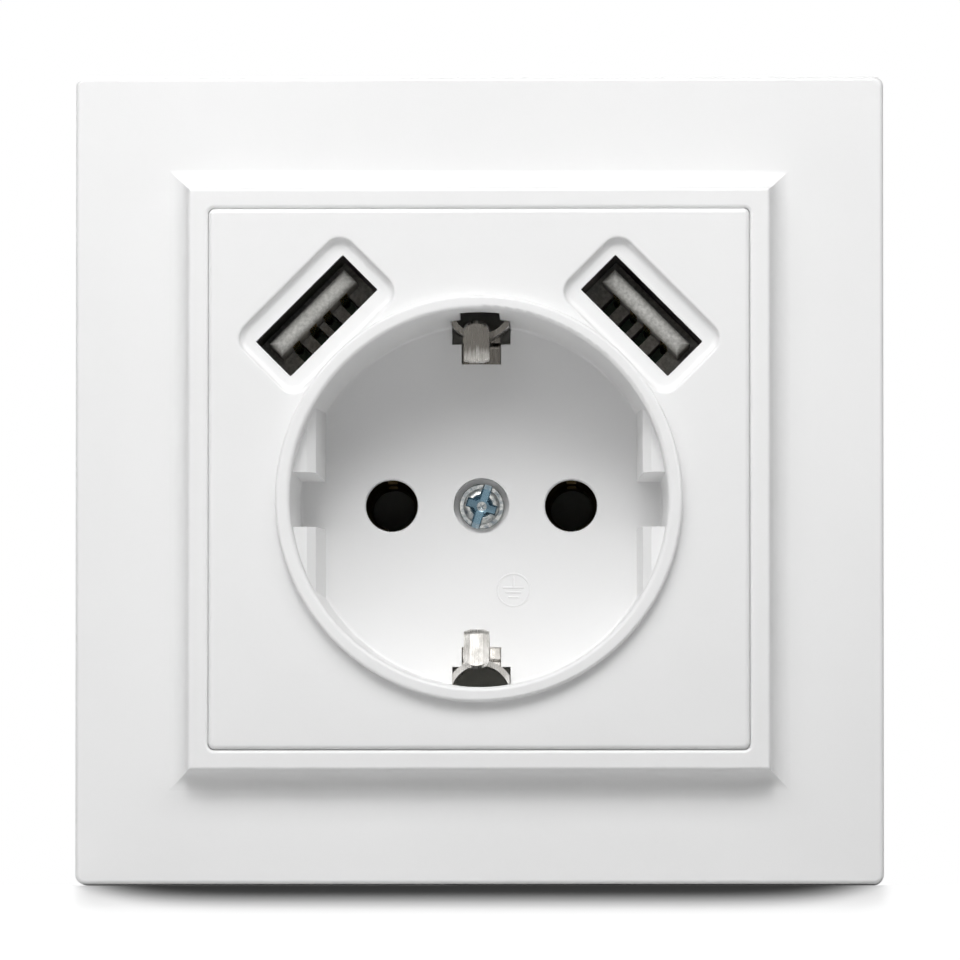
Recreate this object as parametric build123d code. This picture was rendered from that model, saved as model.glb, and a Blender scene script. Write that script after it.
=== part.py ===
from build123d import *
import os
from math import cos, hypot, radians, sin, sqrt

# Flush wall socket with an earthed plug recess and two charging ports, in millimetres.
# The pieces are drawn as seen from the room: x to the right, y up the wall, z out of the wall.
# The wall surface is z = 0 and the frame's centre is the origin.
# At the end every piece is turned so that +Z is up and the front faces -Y.

# Cover frame
frame_side = 85.0
frame_corner_radius = 1.0
frame_edge_round = 0.45
frame_edge_height = 7.0
frame_wall = 2.0
frame_height = 10.0
step_top_side = 61.1
step_wall_lean = 0.5
step_cove_radius = 1.9
step_edge_round = 0.35
opening_side = 56.9
opening_corner_radius = 0.6
opening_edge_round = 0.45
ledge_width = 1.75
ledge_thickness = 1.5
core_groove_wall = 1.5
core_groove_width = 1.2
core_groove_depth = 2.0
frame_rib_thickness = 1.2
frame_rib_spread = 18.0
frame_rib_gap = 0.6

# Centre plate
plate_gap = 0.02
plate_proud = 0.2
plate_thickness = 2.2
plate_corner_radius = 0.7
plate_edge_round = 0.5
skirt_wall = 1.9

# Plug recess
recess_drop = 2.1
recess_rim_radius = 20.35
rim_round = 0.5
recess_draft = 1.15
recess_depth = 17.5
recess_floor_thickness = 2.0
recess_corner_round = 0.3
collar_height = 1.3
collar_wall = 1.05
collar_edge_round = 0.35
cup_wall = 0.65

# Guide ribs in the recess
rib_front_inset = 3.15
rib_floor_inset = 3.85
rib_setback = 3.0
rib_lead = 0.9
rib_notch_front = 5.75
rib_notch_floor = 5.0

# Plug pins and plate screw
pin_spacing = 19.0
pin_radius = 2.4
pin_hole_radius = 2.775
pin_hole_chamfer = 0.15
screw_radius = 1.5
screw_pocket_radius = 2.95
screw_pocket_depth = 2.6
screw_head_radius = 2.4
screw_head_height = 1.9
screw_head_round = 0.6
screw_tip_chamfer = 0.4
screw_drive_rim = 0.75
screw_drive_width = 0.75
screw_drive_depth = 0.9
screw_turn = -20.0
screw_length = 9.5
screw_clearance = 0.2
boss_wall = 1.3
boss_floor = 1.4
boss_clearance = 0.25

# Earth strap
strap_thickness = 0.6
strap_bend = 0.9
strap_width = 4.0
strap_tail_bend = 0.45
strap_shoulder_width = 6.0
strap_shoulder_radius = 3.45
strap_shoulder_inset = 1.95
strap_shoulder_rise = 0.35
strap_shoulder_depth = 11.0
strap_spring_width = 2.7
strap_spring_rise = 0.6
strap_spring_shift = 0.35
strap_crease_width = 1.35
strap_crease_drop = 0.2
strap_root_depth = 14.5
strap_inner_inset = 5.1
strap_inner_depth = 8.1
strap_tip_inset = 1.0
strap_tip_depth = 5.3
strap_slot_clearance = 0.1
strap_slot_front_depth = 3.5
strap_slot_inset = 4.2
strap_slot_shoulder_inset = 2.1
strap_ring_wall = 1.5
strap_play = 0.1

# Charging ports
port_bearing = 48.5
port_turn = 45.0
port_wall = 1.3
shell_width = 13.6
shell_height = 5.85
shell_wall = 0.3
shell_clearance = 0.15
shell_length = 17.9
shell_tab_width = 1.4
shell_tab_length = 2.8
window_width = 12.95
window_height = 5.2
window_corner_radius = 0.15
dish_end_margin = 1.5
dish_side_margin = 1.9
dish_corner_radius = 1.8
dish_depth = 1.0
dish_cove = 0.65
dish_edge_round = 0.3
tongue_width = 11.1
tongue_thickness = 1.84
tongue_outer_gap = 1.07
tongue_setback = 1.0
tongue_edge_round = 0.8
insulator_setback = 10.5
insulator_clearance = 0.1
contact_inner_offset = 1.0
contact_outer_offset = 3.5
contact_strip_width = 1.0
contact_strip_thickness = 0.25
contact_tail_width = 0.6
contact_tail_length = 1.3
contact_setback = 2.0
contact_slot_width = 1.2
contact_seat_play = 0.02

# Base behind the wall surface
base_wall = 2.0
port_cover_wall = 1.1
well_clearance = 0.4
well_floor = 1.2
chamber_depth = 17.0
electronics_room = 17.4
partition_wall = 1.5
pillar_wall = 2.2
pillar_length = 7.0
nut_flats = 5.5
nut_height = 2.4
nut_clearance = 0.1
rear_cover_thickness = 2.5
rear_edge_chamfer = 0.6
cover_screw_bearing = 41.0
cover_screw_inset = 1.9
cover_screw_radius = 1.25
cover_screw_head_radius = 2.4
cover_screw_length = 9.0
cover_screw_boss = 2.6
thread_clearance = 0.03

# Steel support yoke
yoke_side = 71.0
yoke_corner_cut = 12.0
yoke_thickness = 1.0
yoke_edge_gap = 0.6
box_screw_spacing = 60.0
box_slot_width = 3.6
box_slot_length = 5.6
box_screw_relief = 2.2
rivet_radius = 1.4
rivet_head_radius = 2.4
rivet_head_height = 0.7
rivet_length = 6.0
rivet_clearance = 0.05
rivet_wall = 1.6
rivet_bearing = 46.0
rivet_head_round = 0.35

# Pin contacts and terminals
contact_sleeve_wall = 0.8
contact_grip = 0.1
contact_hole_radius = 3.2
contact_front_gap = 0.2
contact_length = 11.5
contact_mouth_depth = 2.5
contact_mouth_lip = 0.15
contact_slit = 1.0
contact_foot_width = 5.0
contact_foot_length = 7.0
contact_finger_width = 2.4
contact_finger_reach = 2.4
terminal_width = 7.0
terminal_height = 8.0
terminal_length = 10.0
terminal_chamfer = 0.35
terminal_rear_gap = 2.0
terminal_x = 10.5
terminal_inset = 0.85
earth_terminal_inset = 2.15
wire_hole_radius = 1.3
wire_hole_offset = 1.65
wire_hole_depth = 8.0
wire_entry_length = 6.6
wire_entry_width = 3.4
terminal_screw_radius = 1.7
terminal_screw_length = 5.5
terminal_screw_bite = 2.6
terminal_screw_setback = 4.5
terminal_access_radius = 2.2
terminal_pad_width = 6.0
terminal_divider = 1.2

# Charger electronics
board_thickness = 1.6
board_edge_gap = 0.4
board_wall_gap = 0.3
core_width = 12.0
core_height = 12.0
core_depth = 5.0
core_leg = 3.0
core_window_height = 8.0
coil_clearance = 0.1
coil_corner_radius = 2.0
transformer_x = -6.5
transformer_rise = 8.3
input_capacitor_radius = 4.0
input_capacitor_length = 12.0
input_capacitor_rise = 6.5
output_capacitor_radius = 2.5
output_capacitor_length = 9.0
output_capacitor_inset = 4.5
can_gap = 0.9
output_capacitor_rise = 6.9
can_edge_round = 0.4
can_groove_depth = 0.35
can_groove_height = 1.6
safety_capacitor_radius = 2.75
safety_capacitor_thickness = 2.2
safety_capacitor_offset = 4.6
safety_capacitor_rise = 1.7
safety_capacitor_round = 0.7
resistor_radius = 1.1
resistor_length = 5.5
resistor_cap_length = 1.4
resistor_waist = 0.2
resistor_gap = 0.5
resistor_rise = 1.7
chip_inset = 2.1
chip_rise = 2.7
chip_length = 5.0
chip_width = 2.8
chip_height = 1.5
chip_leg_pitch = 1.27
chip_legs_per_side = 4
chip_leg_width = 0.45
chip_leg_reach = 0.6
chip_leg_thickness = 0.2
rectifier_x = 6.0
rectifier_rise = 13.2
rectifier_length = 4.7
rectifier_width = 2.6
rectifier_leg_pitch = 2.5
rectifier_legs_per_side = 2

# Spreading claws
claw_y = -6.0
claw_screw_wall = 1.7
claw_screw_passage = 1.8
claw_screw_radius = 1.5
claw_screw_head_radius = 2.75
claw_screw_head_height = 1.6
claw_screw_length = 19.5
claw_screw_seat = 0.05
claw_lever = 6.6
claw_width = 5.4
claw_sheet = 1.2
claw_leg_sheet = 1.0
claw_leg_gap = 0.3
claw_leg_length = 11.5
claw_barrel_radius = 1.7
claw_bend = 0.9
claw_slot_clearance = 0.15
claw_slot_inner_room = 0.3
claw_slot_outer_room = 1.2
claw_slot_leg_drop = 1.6
claw_tooth_pitch = 1.35
claw_tooth_depth = 0.9
claw_pin_radius = 0.75
claw_pin_seat = 0.03
claw_pin_play = 0.05
claw_pocket_gap = 0.25
claw_pocket_wall = 1.2
claw_pocket_inner_gap = 0.5
claw_pocket_roof = 0.4
claw_pivot_drop = 4.1

# Heights that follow from the sizes above
frame_ceiling = frame_edge_height - frame_wall
ledge_top = frame_ceiling + ledge_thickness
plate_side = opening_side - 2 * plate_gap
plate_face = frame_height + plate_proud
plate_underside = plate_face - plate_thickness
dish_floor = plate_face - dish_depth
collar_face = plate_face + collar_height
recess_floor = collar_face - recess_depth
recess_back = recess_floor - recess_floor_thickness
screw_seat = recess_floor - screw_pocket_depth
boss_radius = screw_pocket_radius + boss_wall
boss_end = screw_seat - boss_floor
strap_top = recess_back - strap_play
strap_middle = strap_top - strap_thickness / 2
well_top = strap_top - strap_thickness - strap_play
well_bottom = well_top - well_floor
base_rear = well_bottom - chamber_depth
rear_face = base_rear - rear_cover_thickness
board_back = well_bottom - board_thickness

# Radii and places that follow from the sizes above
recess_floor_radius = recess_rim_radius - recess_draft
collar_radius = recess_rim_radius + collar_wall
cup_radius = recess_rim_radius + cup_wall
well_radius = cup_radius + well_clearance
port_distance = well_radius + port_wall + shell_clearance + shell_height / 2
port_x = port_distance * cos(radians(port_bearing))
port_y = port_distance * sin(radians(port_bearing)) - recess_drop
pocket_width = shell_width + 2 * shell_clearance
pocket_height = shell_height + 2 * shell_clearance
port_reach = hypot(hypot(port_x, port_y) + pocket_height / 2, pocket_width / 2)
base_radius = port_reach + port_cover_wall
chamber_radius = base_radius - base_wall
partition_top = chamber_radius - electronics_room
partition_low = partition_top - partition_wall
shell_rear = well_bottom
shell_mouth = shell_rear + shell_length
contact_radius = pin_radius - contact_grip
contact_outer_radius = contact_radius + contact_sleeve_wall
contact_front = well_bottom - contact_front_gap
contact_rear = contact_front - contact_length
terminal_reach = chamber_radius - terminal_inset
terminal_y = terminal_height / 2 - sqrt(terminal_reach**2 - (terminal_x + terminal_width / 2) ** 2)
earth_terminal_reach = chamber_radius - earth_terminal_inset
earth_terminal_y = terminal_height / 2 - sqrt(earth_terminal_reach**2 - (terminal_width / 2) ** 2)
terminal_rear = base_rear + terminal_rear_gap
terminal_front = terminal_rear + terminal_length
terminal_screw_z = terminal_rear + terminal_screw_setback
output_capacitor_x = port_x - output_capacitor_inset
input_capacitor_x = output_capacitor_x - output_capacitor_radius - can_gap - input_capacitor_radius
safety_capacitor_x = input_capacitor_x - safety_capacitor_offset
resistor_x = safety_capacitor_x - safety_capacitor_radius - resistor_gap - resistor_length / 2
chip_x = chip_inset - port_x
claw_reach = well_radius + claw_screw_wall + claw_screw_passage
claw_screw_x = sqrt(claw_reach**2 - (claw_y + recess_drop) ** 2)
claw_pivot_x = claw_screw_x - claw_lever
claw_pivot_z = well_bottom - claw_pocket_roof - claw_pivot_drop
claw_leg_inner = claw_lever + claw_screw_radius + claw_leg_gap
claw_leg_outer = claw_leg_inner + claw_leg_sheet
claw_pocket_width = claw_width + 2 * claw_pocket_gap
claw_pocket_inner = claw_pivot_x - claw_barrel_radius - claw_pocket_inner_gap
recess_axis = Pos(0, -recess_drop, 0)


# Helpers
def slab(outline, low, high):
    """A flat outline carried from one height to another."""
    return extrude(Pos(0, 0, low) * outline, amount=high - low)


def rod(x, y, radius, low, high):
    """A round bar along z."""
    return slab(Pos(x, y) * Circle(radius), low, high)


def block(x_range, y_range, z_range):
    """A box between two limits on each axis."""
    spans = [high - low for low, high in (x_range, y_range, z_range)]
    middles = [(high + low) / 2 for low, high in (x_range, y_range, z_range)]
    return Pos(*middles) * Box(*spans)


def centred(middle, width):
    """Limits of a span around its middle."""
    return (middle - width / 2, middle + width / 2)


def strip(points, bend, section):
    """Section of a sheet strip carried along a bent line in the y-z plane."""
    path = FilletPolyline(*[(0, y, z) for y, z in points], radius=bend)
    start = Plane(origin=path @ 0, x_dir=(1, 0, 0), z_dir=path % 0)
    return sweep(start * section, path=path)


def port_place(side):
    """Place of a port: its local x runs along the long side and its local y points away from the recess."""
    return Pos(side * port_x, port_y, 0) * Rot(0, 0, -side * port_turn)


def four_sides():
    """Quarter turns about the frame's centre."""
    return [Rot(0, 0, 90 * turn) for turn in range(4)]


# Cover frame: hollow moulding with a raised coved centre and a ledge that the plate clamps
def coved_step():
    """Raised square whose leaning walls end in coves that meet in mitres."""
    top = step_top_side / 2
    foot = top + step_wall_lean
    base = foot + step_cove_radius
    sole = frame_edge_height - frame_edge_round
    outline = Polygon(
        (-top, frame_height),
        (-foot, frame_edge_height),
        (-base, frame_edge_height),
        (-base, sole),
        (base, sole),
        (base, frame_edge_height),
        (foot, frame_edge_height),
        (top, frame_height),
        align=None,
    )
    corners = outline.vertices().group_by(Axis.Y)[1].sort_by(Axis.X)[1:-1]
    outline = fillet(corners, step_cove_radius)
    bar = extrude(Plane.XZ * outline, amount=base, both=True)
    step = bar & (Rot(0, 0, 90) * bar)
    return fillet(step.edges().group_by(Axis.Z)[-1], step_edge_round)


def make_cover_frame():
    rim = slab(RectangleRounded(frame_side, frame_side, frame_corner_radius), 0, frame_edge_height)
    rim = fillet(rim.edges().group_by(Axis.Z)[-1], frame_edge_round)
    frame = rim + coved_step()

    inner_side = frame_side - 2 * frame_wall
    frame -= slab(Rectangle(inner_side, inner_side), 0, frame_ceiling)
    ledge_side = opening_side - 2 * ledge_width
    frame -= slab(Rectangle(ledge_side, ledge_side), frame_ceiling, ledge_top)
    frame -= slab(RectangleRounded(opening_side, opening_side, opening_corner_radius), ledge_top, frame_height)
    top_face = frame.faces().filter_by(Axis.Z).sort_by(Axis.Z)[-1]
    frame = fillet(top_face.inner_wires()[0].edges(), opening_edge_round)

    groove_inner = opening_side + 2 * core_groove_wall
    groove_outer = groove_inner + 2 * core_groove_width
    groove = Rectangle(groove_outer, groove_outer) - Rectangle(groove_inner, groove_inner)
    frame -= slab(groove, frame_ceiling, frame_ceiling + core_groove_depth)

    rib_low = yoke_thickness + frame_rib_gap
    rib_run = (groove_outer / 2, inner_side / 2)
    for turn in four_sides():
        for offset in (-frame_rib_spread, frame_rib_spread):
            rib = block(rib_run, centred(offset, frame_rib_thickness), (rib_low, frame_ceiling))
            frame += turn * rib
    return frame


# Centre plate: square face, collar and cup in one moulding
def recess_cavity():
    """The space a plug fills: drafted wall, rounded rim and floor corner, less the guide ribs."""
    wall_radius = recess_rim_radius - rim_round
    profile = Polyline(
        (0, recess_floor),
        (recess_floor_radius, recess_floor),
        (wall_radius, collar_face - rim_round),
    )
    rim = RadiusArc((wall_radius, collar_face - rim_round), (recess_rim_radius, collar_face), rim_round)
    mouth = Polyline(
        (recess_rim_radius, collar_face),
        (recess_rim_radius, collar_face + collar_height),
        (0, collar_face + collar_height),
        (0, recess_floor),
    )
    face = make_face(Plane.XZ * (profile + rim + mouth))
    cavity = recess_axis * revolve(face, axis=Axis.Z)
    corner = cavity.edges().filter_by(GeomType.CIRCLE).group_by(Axis.Z)[0]
    cavity = fillet(corner, recess_corner_round)
    for side in (-1, 1):
        cavity -= guide_rib(side)
    return cavity


def guide_rib(side):
    """Two ribs on one side of the recess with the notch between them."""
    rib_top = collar_face - rib_setback
    front_flat = recess_rim_radius - rib_front_inset
    profile = Polygon(
        (recess_rim_radius - rib_floor_inset, recess_floor),
        (cup_radius, recess_floor),
        (cup_radius, rib_top),
        (front_flat + rib_lead, rib_top),
        (front_flat, rib_top - rib_lead),
        align=None,
    )
    rib = extrude(Plane.XZ * profile, amount=cup_radius, both=True)
    notch_profile = Polygon(
        (-rib_notch_floor / 2, recess_floor),
        (rib_notch_floor / 2, recess_floor),
        (rib_notch_front / 2, rib_top),
        (-rib_notch_front / 2, rib_top),
        align=None,
    )
    notch = extrude(Plane.YZ * notch_profile, amount=cup_radius)
    turn = Rot(0, 0, 0 if side > 0 else 180)
    return recess_axis * turn * (rib - notch)


def port_dish(side):
    """Coved dish around a port window, with the window through it."""
    dish_outline = RectangleRounded(
        window_width + 2 * dish_end_margin, window_height + 2 * dish_side_margin, dish_corner_radius
    )
    dish = slab(dish_outline, dish_floor, plate_face + collar_height)
    dish = fillet(dish.edges().group_by(Axis.Z)[0], dish_cove)
    window = slab(
        RectangleRounded(window_width, window_height, window_corner_radius), plate_underside, dish_floor
    )
    return port_place(side) * (dish + window)


def earth_slot(side):
    """Opening in the cup's floor and wall for one earth clip, wider where its shoulders pass."""
    strap_room = centred(0, strap_width + 2 * strap_slot_clearance)
    shoulder_room = centred(0, strap_shoulder_width + 2 * strap_slot_clearance)
    floor_reach = recess_floor_radius - strap_slot_inset
    wall_reach = recess_floor_radius - strap_slot_shoulder_inset
    slot = block(strap_room, (floor_reach, well_radius), (recess_back, recess_floor))
    slot += block(strap_room, (wall_reach, well_radius), (recess_floor, collar_face - strap_slot_front_depth))
    slot += block(shoulder_room, (wall_reach, well_radius), (recess_back, collar_face - strap_shoulder_depth))
    turn = Rot(0, 0, 0 if side > 0 else 180)
    return recess_axis * turn * slot


def make_centre_plate():
    plate = slab(RectangleRounded(plate_side, plate_side, plate_corner_radius), ledge_top, plate_face)
    plate = fillet(plate.edges().group_by(Axis.Z)[-1], plate_edge_round)
    inside = plate_side - 2 * skirt_wall
    plate -= slab(Rectangle(inside, inside), ledge_top, plate_underside)
    for side in (-1, 1):
        plate -= port_dish(side)
    top_face = plate.faces().filter_by(Axis.Z).sort_by(Axis.Z)[-1]
    dish_edges = [edge for wire in top_face.inner_wires() for edge in wire.edges()]
    plate = fillet(dish_edges, dish_edge_round)

    collar = slab(Circle(collar_radius), plate_underside, collar_face)
    collar = fillet(collar.edges().group_by(Axis.Z)[-1], collar_edge_round)
    cup = slab(Circle(cup_radius), recess_back, plate_underside)
    boss = slab(Circle(boss_radius), boss_end, recess_back)
    plate += recess_axis * (collar + cup + boss)
    plate -= recess_cavity()

    for side in (-1, 1):
        hole_x = side * pin_spacing / 2
        plate -= rod(hole_x, -recess_drop, pin_hole_radius, recess_back, recess_floor)
        plate -= earth_slot(side)
    pin_rims = [
        edge
        for edge in plate.edges().filter_by(GeomType.CIRCLE).filter_by_position(Axis.Z, recess_floor, recess_floor)
        if abs(edge.radius - pin_hole_radius) < pin_hole_chamfer
    ]
    plate = chamfer(pin_rims, pin_hole_chamfer)
    plate -= rod(0, -recess_drop, screw_pocket_radius, screw_seat, recess_floor)
    plate -= rod(0, -recess_drop, screw_radius + screw_clearance, boss_end, screw_seat)
    return plate


def cross_drive(head_radius, top):
    """Two crossed slots for a screwdriver, cut down from a screw's top."""
    reach = 2 * (head_radius - screw_drive_rim)
    slot = block(centred(0, reach), centred(0, screw_drive_width), (top - screw_drive_depth, top))
    return slot + Rot(0, 0, 90) * slot


def make_plate_screw():
    head_top = screw_seat + screw_head_height
    head = slab(Circle(screw_head_radius), screw_seat, head_top)
    head = fillet(head.edges().group_by(Axis.Z)[-1], screw_head_round)
    shank = slab(Circle(screw_radius), screw_seat - screw_length, screw_seat)
    shank = chamfer(shank.edges().group_by(Axis.Z)[0], screw_tip_chamfer)
    screw = head + shank - cross_drive(screw_head_radius, head_top)
    return recess_axis * Rot(0, 0, screw_turn) * screw


def nut_outline(clearance):
    """Hexagon of the plate screw's nut."""
    return RegularPolygon(radius=nut_flats / 2 + clearance, side_count=6, major_radius=False)


def make_centre_nut():
    nut_low = well_bottom - pillar_length
    nut = slab(nut_outline(0), nut_low, nut_low + nut_height)
    nut -= slab(Circle(screw_radius + thread_clearance), nut_low, nut_low + nut_height)
    return recess_axis * nut


# Earth strap: one strip with a spring clip at each end and a tail to the earth terminal
def creased_section():
    """Section of a clip's spring: a flat middle between two sides that slope back from the plug."""
    half = strap_spring_width / 2
    flat = strap_crease_width / 2
    inner = -strap_thickness / 2
    outer = strap_thickness / 2
    return Polygon(
        (-half, inner + strap_crease_drop),
        (-flat, inner),
        (flat, inner),
        (half, inner + strap_crease_drop),
        (half, outer + strap_crease_drop),
        (flat, outer),
        (-flat, outer),
        (-half, outer + strap_crease_drop),
        align=None,
    )


def shoulder_reach(side):
    """Distance of a clip's shoulder from the recess axis: the strap sits a little high."""
    return recess_floor_radius - strap_shoulder_inset + side * strap_shoulder_rise


def clip_shoulder(side):
    """Arched plate beside the spring's root, with its crown towards the plug."""
    arch = Circle(strap_shoulder_radius + strap_thickness / 2) - Circle(strap_shoulder_radius - strap_thickness / 2)
    arch &= Pos(0, -strap_shoulder_radius) * Rectangle(strap_shoulder_width, 2 * strap_shoulder_radius)
    crown = Pos(0, shoulder_reach(side) + strap_shoulder_radius) * arch
    return slab(crown, strap_middle + strap_bend, collar_face - strap_shoulder_depth - strap_slot_clearance)


def clip_spring(side):
    """Creased spring that rises from the shoulder's crown, bulges into the recess and ends in a round tip."""
    foot = (shoulder_reach(side), strap_middle + strap_bend)
    root = (shoulder_reach(side), collar_face - strap_root_depth)
    wall = recess_floor_radius + side * strap_spring_rise
    bulge = (wall - strap_inner_inset, collar_face - strap_inner_depth)
    tip = (wall - strap_tip_inset, collar_face - strap_tip_depth)
    spring = strip([foot, root, bulge, tip], strap_bend, creased_section())
    half = strap_spring_width / 2
    lead = Vector(0, tip[0] - bulge[0], tip[1] - bulge[1]).normalized()
    tip_plane = Plane(origin=(0, *tip), x_dir=(1, 0, 0), z_dir=(0, lead.Z, -lead.Y))
    corners = Pos(0, half / 2) * Rectangle(strap_spring_width, half) - Pos(0, half) * Circle(half)
    spring -= extrude(tip_plane * corners, amount=strap_thickness + strap_crease_drop, both=True)
    return Pos(-side * strap_spring_shift, 0) * spring


def make_earth_strap():
    ring = boss_radius + boss_clearance
    flat = Rectangle(strap_width, strap_thickness)
    strap = slab(Circle(ring + strap_ring_wall), strap_top - strap_thickness, strap_top)
    for side in (-1, 1):
        foot = strip(
            [
                (0, strap_middle),
                (shoulder_reach(side), strap_middle),
                (shoulder_reach(side), strap_middle + 2 * strap_bend),
            ],
            strap_bend,
            flat,
        )
        strap += Rot(0, 0, 0 if side > 0 else 180) * (foot + clip_shoulder(side) + clip_spring(side))
    tail_y = earth_terminal_y + terminal_height / 2 + strap_thickness / 2 + recess_drop
    strap += strip(
        [(0, strap_middle), (tail_y, strap_middle), (tail_y, terminal_rear + terminal_length / 2)],
        strap_tail_bend,
        flat,
    )
    strap -= slab(Circle(ring), strap_top - 2 * strap_thickness, strap_top + strap_thickness)
    return recess_axis * strap


# Charging port: folded shell, moulded insulator with its tongue, four contact strips
def make_usb_shell(side):
    outline = RectangleRounded(shell_width, shell_height, 2 * shell_wall)
    bore = RectangleRounded(shell_width - 2 * shell_wall, shell_height - 2 * shell_wall, shell_wall)
    shell = slab(outline - bore, shell_rear, shell_mouth)
    for end in (-1, 1):
        tab_x = end * (shell_width - shell_wall) / 2
        shell += block(
            centred(tab_x, shell_wall), centred(0, shell_tab_width), (shell_rear - shell_tab_length, shell_rear)
        )
    return port_place(side) * shell


def tongue_limits():
    """Near and far side of the tongue across the port."""
    outer = shell_height / 2 - shell_wall - tongue_outer_gap
    return (outer - tongue_thickness, outer)


def contact_offsets():
    """Places of the four contacts along the port."""
    return [-contact_outer_offset, -contact_inner_offset, contact_inner_offset, contact_outer_offset]


def make_usb_insulator(side):
    rear_width = shell_width - 2 * (shell_wall + insulator_clearance)
    rear_height = shell_height - 2 * (shell_wall + insulator_clearance)
    rear_front = shell_mouth - insulator_setback
    insulator = block(centred(0, rear_width), centred(0, rear_height), (shell_rear, rear_front))
    tongue = block(centred(0, tongue_width), tongue_limits(), (rear_front, shell_mouth - tongue_setback))
    insulator += fillet(tongue.edges().group_by(Axis.Z)[-1], tongue_edge_round)
    for offset in contact_offsets():
        insulator -= block(
            centred(offset, contact_slot_width), (-rear_height / 2, tongue_limits()[0]), (shell_rear, rear_front)
        )
        insulator -= contact_strip(offset, contact_seat_play)
    return port_place(side) * insulator


def contact_strip(offset, play):
    """Strip let into the tongue's near face, grown by a play to make its seat."""
    near = tongue_limits()[0]
    strip_top = shell_mouth - tongue_setback - contact_setback
    return block(
        centred(offset, contact_strip_width + 2 * play),
        (near, near + contact_strip_thickness + play),
        (shell_rear, strip_top + play),
    )


def make_usb_contact(side, offset):
    near = tongue_limits()[0]
    contact = contact_strip(offset, 0)
    contact += block(
        centred(offset, contact_tail_width),
        (near, near + contact_strip_thickness),
        (board_back - contact_tail_length, shell_rear),
    )
    return port_place(side) * contact


# Base: round moulding with the cup's well, port pockets and two chambers that open to the rear
def claw_pocket(side, wall):
    """Side pocket that a claw swings in, grown by a wall thickness."""
    return block(
        tuple(sorted((side * (claw_pocket_inner - wall), side * 2 * base_radius))),
        centred(claw_y, claw_pocket_width + 2 * wall),
        (base_rear, well_bottom - claw_pocket_roof + wall),
    )


def terminal_places():
    """Middle of each terminal: live, earth, neutral."""
    return [(-terminal_x, terminal_y), (0, earth_terminal_y), (terminal_x, terminal_y)]


def cover_screw_places():
    """Places of the rear cover's screws."""
    reach = chamber_radius - cover_screw_inset
    x = reach * cos(radians(cover_screw_bearing))
    y = -reach * sin(radians(cover_screw_bearing))
    return [(-x, y), (x, y), (0, reach)]


def rivet_places():
    """Places of the rivets between yoke and base, around the well."""
    reach = well_radius + rivet_wall + rivet_radius
    x = reach * cos(radians(rivet_bearing))
    y = -reach * sin(radians(rivet_bearing))
    return [(-x, y - recess_drop), (x, y - recess_drop), (0, reach - recess_drop)]


def box_screw_places():
    """Places of the wall box's screws on the four sides."""
    reach = box_screw_spacing / 2
    return [(reach, 0), (0, reach), (-reach, 0), (0, -reach)]


def contact_chamber():
    """Lower chamber for contacts and terminals, less what stands in it."""
    chamber = slab(Circle(chamber_radius), base_rear, well_bottom)
    chamber -= block((-base_radius, base_radius), (partition_low, base_radius), (base_rear, well_bottom))
    for side in (-1, 1):
        chamber -= claw_pocket(side, claw_pocket_wall)
        divider_x = side * (terminal_x / 2)
        chamber -= block(
            centred(divider_x, terminal_divider),
            (-base_radius, terminal_y + terminal_height / 2),
            (base_rear, well_bottom),
        )
    pillar_radius = nut_flats / 2 + pillar_wall
    chamber -= rod(0, -recess_drop, pillar_radius, well_bottom - pillar_length, well_bottom)
    for x, y in terminal_places():
        pad_top = y - terminal_height / 2
        chamber -= block(centred(x, terminal_pad_width), (-base_radius, pad_top), (terminal_rear, terminal_front))
    return chamber


def electronics_chamber():
    """Upper chamber behind the ports."""
    chamber = slab(Circle(chamber_radius), base_rear, well_bottom)
    chamber -= block((-base_radius, base_radius), (-base_radius, partition_top), (base_rear, well_bottom))
    return chamber


def make_socket_base():
    base = slab(Circle(base_radius), base_rear, 0)
    base -= recess_axis * slab(Circle(well_radius), well_top, 0)
    base -= contact_chamber()
    base -= electronics_chamber()
    for x, y in cover_screw_places():
        boss = rod(x, y, cover_screw_boss, base_rear, well_bottom)
        base += boss & slab(Circle(base_radius), base_rear, 0)
        base -= rod(x, y, cover_screw_radius + thread_clearance, base_rear,
                    base_rear + cover_screw_length - rear_cover_thickness)

    for side in (-1, 1):
        pocket = slab(RectangleRounded(pocket_width, pocket_height, 2 * shell_wall), well_bottom, 0)
        base -= port_place(side) * pocket
        base -= claw_pocket(side, 0)
        base -= rod(side * claw_screw_x, claw_y, claw_screw_passage, well_bottom - claw_pocket_roof, 0)
        base -= claw_pin_shape(side, claw_pin_radius + claw_pin_seat)
        base -= rod(side * pin_spacing / 2, -recess_drop, contact_hole_radius, well_bottom, well_top)
        finger = centred(side * pin_spacing / 2, contact_finger_width + 2 * board_wall_gap)
        finger_low = board_back - contact_sleeve_wall - board_wall_gap
        base -= block(finger, (partition_low, partition_top), (finger_low, well_bottom))

    nut_low = well_bottom - pillar_length
    boss_pocket = boss_end - boss_clearance
    base -= rod(0, -recess_drop, boss_radius + boss_clearance, boss_pocket, well_top)
    base -= rod(0, -recess_drop, screw_radius + screw_clearance, nut_low, boss_pocket)
    base -= recess_axis * slab(nut_outline(nut_clearance), nut_low, nut_low + nut_height)

    tail_y = earth_terminal_y + terminal_height / 2 + strap_thickness / 2
    base -= block(
        centred(0, strap_width + 2 * board_wall_gap),
        centred(tail_y, strap_thickness + 2 * board_wall_gap),
        (well_bottom, well_top),
    )
    for x, y in terminal_places():
        access = Cylinder(terminal_access_radius, base_radius, rotation=(90, 0, 0))
        base -= Pos(x, y - terminal_height / 2 - base_radius / 2, terminal_screw_z) * access
    for x, y in rivet_places():
        base -= rod(x, y, rivet_radius + rivet_clearance, yoke_thickness - rivet_length, 0)
    for x, y in box_screw_places():
        base -= rod(x, y, box_screw_relief, base_rear, 0)
    return base


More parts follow.
